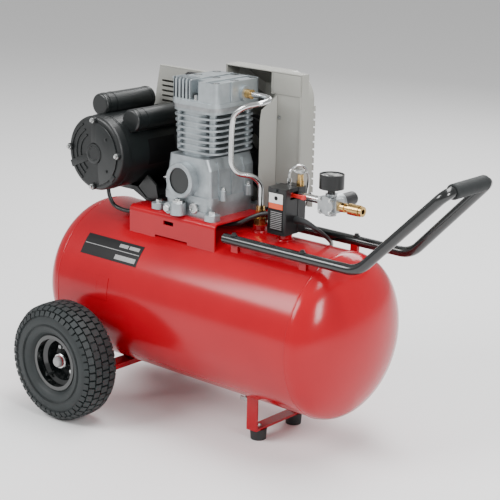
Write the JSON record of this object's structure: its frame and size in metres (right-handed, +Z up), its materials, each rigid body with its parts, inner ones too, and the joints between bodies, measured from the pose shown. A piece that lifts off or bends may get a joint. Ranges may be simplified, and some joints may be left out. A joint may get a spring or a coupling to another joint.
{
  "type": "portable belt-drive air compressor",
  "caption": "Portable belt-drive air compressor: horizontal tank on wheels and feet, twin-cylinder pump, motor, belt guard, pressure switch, regulator and push handle.",
  "frame": {"origin": "on the floor, at the middle of the machine's length and width", "axes": "+X along the tank towards the handle, +Y towards the belt guard, +Z up"},
  "size_m": [1.0556, 0.6576, 0.766],
  "materials": {
    "tank_paint": "gloss red enamel",
    "black_frame": "satin black paint",
    "motor_black": "semi-gloss black paint",
    "motor_end": "black painted casting",
    "tyre": "moulded rubber tread",
    "rim": "gloss black pressed steel",
    "rubber": "matte black rubber",
    "cast_aluminium": "as-cast, tumbled",
    "head_aluminium": "die-cast",
    "inner_steel": "machined steel",
    "cast_iron": "grey iron",
    "zinc": "bright zinc plate",
    "guard_grey": "light warm grey powder coat",
    "belt": "fabric-wrapped belt",
    "copper_tube": "drawn bright tube",
    "brass": "turned brass",
    "switch_black": "moulded black",
    "lever_red": "moulded red",
    "regulator_metal": "satin nickel casting",
    "gauge_case": "black case with a white dial",
    "needle": "matte black",
    "knob_black": "fine-textured",
    "cord_jacket": "smooth vinyl jacket"
  },
  "bodies": {
    "frame": {"tank_barrel": "tank_paint", "tank_heads": "tank_paint", "saddle_plate": "tank_paint", "axle_bracket": "tank_paint", "foot_bracket": "tank_paint", "rubber_feet": "rubber", "handle_tube": "black_frame", "handle_grip": "rubber", "motor_shell": "motor_black", "motor_front_bell": "motor_end", "motor_rear_bell": "motor_end", "motor_stator": "inner_steel", "capacitor_covers": "motor_black", "motor_bracket": "motor_black", "pump_base": "cast_aluminium", "oil_fill_plug": "zinc", "crankcase": "cast_aluminium", "bearing_cover": "cast_aluminium", "crank_bearings": "inner_steel", "connecting_rods": "head_aluminium", "pistons": "head_aluminium", "cylinder_block": "cast_aluminium", "valve_plate": "inner_steel", "cylinder_head": "head_aluminium", "pump_bolts": "zinc", "intake_filter": "knob_black", "drive_belt": "belt", "guard_front": "guard_grey", "guard_panel": "guard_grey", "guard_back": "guard_grey", "discharge_tube": "copper_tube", "discharge_fittings": "brass", "switch_base": "switch_black", "switch_cover": "switch_black", "pipe_nipples": "zinc", "unloader_tube": "copper_tube", "safety_valve": "brass", "regulator_body": "regulator_metal", "pressure_gauge": "gauge_case", "coupler_body": "brass", "drain_valve": "brass", "motor_cable": "cord_jacket", "cord_gland": "rubber", "power_cord": "cord_jacket", "cord_coil": "cord_jacket", "cord_plug": "cord_jacket"},
    "wheel_front": {"tyre_front": "tyre", "rim_front": "rim"},
    "wheel_rear": {"tyre_rear": "tyre", "rim_rear": "rim"},
    "crank": {"crankshaft": "inner_steel", "flywheel": "cast_iron"},
    "rotor": {"motor_rotor": "inner_steel", "motor_pulley": "cast_iron"},
    "switch_lever": {"switch_lever": "lever_red"},
    "safety_ring": {"safety_ring": "zinc"},
    "regulator_knob": {"regulator_knob": "knob_black"},
    "gauge_needle": {"gauge_needle": "needle"},
    "coupler_sleeve": {"coupler_sleeve": "brass"},
    "drain_handle": {"drain_handle": "zinc"}
  },
  "joints": [
    {"name": "wheel_front_spin", "type": "hinge", "parent": "frame", "child": "wheel_front", "pos_m": [-0.33075, -0.26, 0.131], "axis": [0, 1, 0], "continuous": true},
    {"name": "wheel_rear_spin", "type": "hinge", "parent": "frame", "child": "wheel_rear", "pos_m": [-0.33075, 0.26, 0.131], "axis": [0, 1, 0], "continuous": true},
    {"name": "crank_spin", "type": "hinge", "parent": "frame", "child": "crank", "pos_m": [-0.13975, 0, 0.539], "axis": [0, 1, 0], "continuous": true},
    {"name": "rotor_spin", "type": "hinge", "parent": "frame", "child": "rotor", "pos_m": [-0.35775, 0, 0.571], "axis": [0, 1, 0], "continuous": true},
    {"name": "lever_turn", "type": "hinge", "parent": "frame", "child": "switch_lever", "pos_m": [0.08625, -0.004, 0.533], "axis": [0, 0, 1], "range_deg": [-24, 12]},
    {"name": "ring_pull", "type": "slide", "parent": "frame", "child": "safety_ring", "axis": [0, 0, 1], "range_m": [0, 0.004], "stiffness_N_per_m": 1500},
    {"name": "knob_turn", "type": "hinge", "parent": "frame", "child": "regulator_knob", "pos_m": [0.17325, 0.06, 0.525], "axis": [0, 1, 0], "range_deg": [-720, 720]},
    {"name": "needle_turn", "type": "hinge", "parent": "frame", "child": "gauge_needle", "pos_m": [0.17325, 0.02, 0.584], "axis": [0, 0, 1], "range_deg": [-270, 0]},
    {"name": "sleeve_slide", "type": "slide", "parent": "frame", "child": "coupler_sleeve", "axis": [-1, 0, 0], "range_m": [0, 0.008], "stiffness_N_per_m": 700},
    {"name": "drain_turn", "type": "hinge", "parent": "frame", "child": "drain_handle", "pos_m": [-0.00975, -0.02, 0.059], "axis": [0, 1, 0], "range_deg": [0, 90]}
  ],
  "couplings": [
    {"joint": "rotor_spin", "follows": "crank_spin", "ratio": 3.1667}
  ]
}
